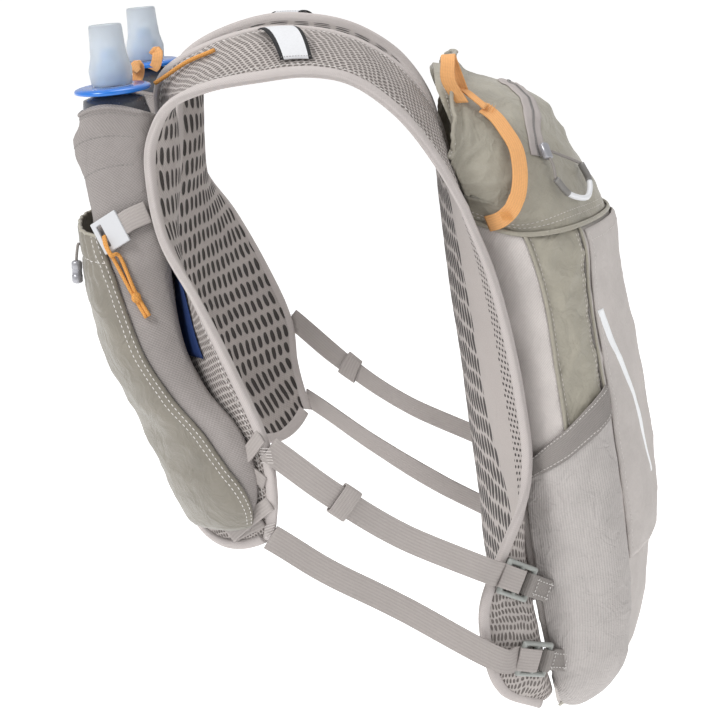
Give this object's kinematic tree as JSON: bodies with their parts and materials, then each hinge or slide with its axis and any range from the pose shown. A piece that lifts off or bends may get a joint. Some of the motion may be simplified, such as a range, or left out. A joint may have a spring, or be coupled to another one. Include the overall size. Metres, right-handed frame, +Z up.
{
  "type": "running hydration vest",
  "caption": "Sleeveless running vest with padded mesh straps, chest pockets holding soft flasks, buckled side straps and a rounded back pack with zipper and stretch pockets.",
  "frame": {"origin": "middle of the shoulder line, where the two straps rest on the wearer's shoulders", "axes": "+X to the wearer's left, -Y to the chest, +Z up"},
  "size_m": [0.3158, 0.3779, 0.4481],
  "materials": {
    "binding": "matte",
    "black_cord": "matte",
    "blue_plastic": "glossy",
    "buckle_plastic": "matte",
    "frosted_plastic": "frosted",
    "grey_cloth": "matte",
    "knit": "matte",
    "label_cloth": "matte",
    "navy_cloth": "matte",
    "olive_cloth": "matte",
    "orange_cord": "matte",
    "orange_webbing": "matte",
    "ribbed_knit": "matte",
    "silver_plastic": "matte",
    "smoky_film": "smoky translucent film",
    "spacer_mesh": "matte",
    "valve_silicone": "matte",
    "webbing": "matte",
    "white_plastic": "matte",
    "zipper": "matte"
  },
  "bodies": {
    "vest": {"left_shoulder_strap": "spacer_mesh", "left_arm_binding": "binding", "left_neck_binding": "binding", "left_bottle_pocket": "knit", "left_front_pocket": "olive_cloth", "left_side_lining": "navy_cloth", "left_flask": "smoky_film", "left_flask_collar": "blue_plastic", "left_bite_valve": "valve_silicone", "left_clip_plate": "white_plastic", "left_clip_webbing": "webbing", "left_pull_cord": "orange_cord", "left_toggle": "silver_plastic", "left_label_band": "label_cloth", "left_flask_cord": "orange_cord", "left_upper_strap": "webbing", "left_upper_buckle": "buckle_plastic", "left_keeper": "webbing", "left_lower_strap": "webbing", "left_lower_buckle": "buckle_plastic", "left_side_panel": "grey_cloth", "left_gusset": "olive_cloth", "left_side_pocket": "ribbed_knit", "left_side_loop": "orange_webbing", "right_shoulder_strap": "spacer_mesh", "right_arm_binding": "binding", "right_neck_binding": "binding", "right_bottle_pocket": "knit", "right_front_pocket": "olive_cloth", "right_side_lining": "navy_cloth", "right_flask": "smoky_film", "right_flask_collar": "blue_plastic", "right_bite_valve": "valve_silicone", "right_clip_plate": "white_plastic", "right_clip_webbing": "webbing", "right_pull_cord": "orange_cord", "right_toggle": "silver_plastic", "right_label_band": "label_cloth", "right_flask_cord": "orange_cord", "right_upper_strap": "webbing", "right_upper_buckle": "buckle_plastic", "right_keeper": "webbing", "right_lower_strap": "webbing", "right_lower_buckle": "buckle_plastic", "right_side_panel": "grey_cloth", "right_gusset": "olive_cloth", "right_side_pocket": "ribbed_knit", "right_side_loop": "orange_webbing", "back_panel": "spacer_mesh", "pack_back": "grey_cloth", "pack_roof": "olive_cloth", "back_pocket": "grey_cloth", "zipper_tape": "zipper", "top_loop": "orange_webbing", "zipper_puller": "white_plastic", "zipper_cord": "black_cord"},
    "left_cover": {"left_valve_cover": "frosted_plastic"},
    "right_cover": {"right_valve_cover": "frosted_plastic"}
  },
  "joints": [
    {"name": "left_cover_slide", "type": "slide", "parent": "vest", "child": "left_cover", "axis": [0, -0.0872, 0.9962], "range_m": [0, 0.03]},
    {"name": "right_cover_slide", "type": "slide", "parent": "vest", "child": "right_cover", "axis": [0, -0.0872, 0.9962], "range_m": [0, 0.03]}
  ]
}
